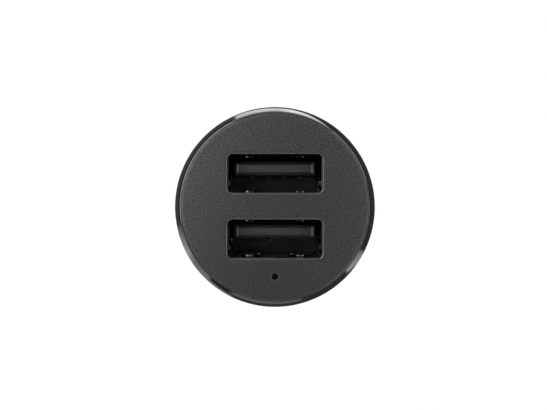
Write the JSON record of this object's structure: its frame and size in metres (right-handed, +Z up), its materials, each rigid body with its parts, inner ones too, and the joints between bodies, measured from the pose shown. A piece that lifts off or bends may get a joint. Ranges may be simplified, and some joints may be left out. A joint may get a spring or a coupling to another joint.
{
  "type": "car usb charger plug",
  "caption": "Round plug for a car's 12 V socket with USB-A ports in its flat front face, side ground contacts and a sprung centre tip.",
  "frame": {"origin": "on the plug's axis, at the stop shoulder where the barrel leaves the head", "axes": "+Y along the plug's axis towards the centre tip, so the ports face -Y; +Z up across the ports, with the light's pinhole lowest; +X across the ports' width"},
  "size_m": [0.0268, 0.06, 0.0268],
  "materials": {
    "gloss_housing": "polished black moulded plastic",
    "matte_face": "fine spark-textured dark grey plastic",
    "clear_pipe": "polished clear acrylic",
    "port_shell": "dark nickel plated steel strip",
    "insulator": "satin black moulded plastic",
    "circuit_board": "green solder mask over glass laminate",
    "led_body": "pale moulded package",
    "ferrite": "dull dark ferrite",
    "can_aluminium": "drawn aluminium can",
    "chip_resin": "black moulded resin",
    "chip_ceramic": "fired tan ceramic with tinned ends",
    "terminal_brass": "stamped brass",
    "spring_steel": "drawn spring wire",
    "nickel_plate": "bright nickel plate over steel or brass",
    "gold_contact": "thin gold over copper alloy"
  },
  "bodies": {
    "plug": {"housing": "gloss_housing", "nose_cap": "gloss_housing", "face_plate": "matte_face", "light_pipe": "clear_pipe", "usb_shell_upper": "port_shell", "usb_shell_lower": "port_shell", "usb_insulator_upper": "insulator", "usb_insulator_lower": "insulator", "port_board": "circuit_board", "main_board": "circuit_board", "indicator_led": "led_body", "power_inductor": "ferrite", "input_capacitor": "can_aluminium", "output_capacitor": "can_aluminium", "buck_converter_chip": "chip_resin", "rectifier_diode": "chip_resin", "charge_chip_left": "chip_resin", "charge_chip_right": "chip_resin", "board_fuse": "chip_ceramic", "ceramic_capacitor_1": "chip_ceramic", "ceramic_capacitor_2": "chip_ceramic", "sense_resistor_1": "chip_resin", "sense_resistor_2": "chip_resin", "positive_terminal": "terminal_brass", "tip_spring": "spring_steel", "usb_blade_upper_1": "gold_contact", "usb_blade_upper_2": "gold_contact", "usb_blade_upper_3": "gold_contact", "usb_blade_upper_4": "gold_contact", "usb_blade_lower_1": "gold_contact", "usb_blade_lower_2": "gold_contact", "usb_blade_lower_3": "gold_contact", "usb_blade_lower_4": "gold_contact"},
    "tip": {"centre_tip": "nickel_plate"},
    "left_contact": {"ground_contact_left": "nickel_plate"},
    "right_contact": {"ground_contact_right": "nickel_plate"}
  },
  "joints": [
    {"name": "tip_press", "type": "slide", "parent": "plug", "child": "tip", "axis": [0, 1, 0], "range_m": [-0.0025, 0], "stiffness_N_per_m": 600, "springref_m": 0.003, "deforming": ["tip_spring"]},
    {"name": "ground_right_flex", "type": "hinge", "parent": "plug", "child": "right_contact", "pos_m": [0.0088, 0.00865, 0], "axis": [0, 0, 1], "range_deg": [0, 7], "stiffness_Nm_per_rad": 0.15, "springref_deg": -2.86},
    {"name": "ground_left_flex", "type": "hinge", "parent": "plug", "child": "left_contact", "pos_m": [-0.0088, 0.00865, 0], "axis": [0, 0, 1], "range_deg": [-7, 0], "stiffness_Nm_per_rad": 0.15, "springref_deg": 2.86}
  ]
}
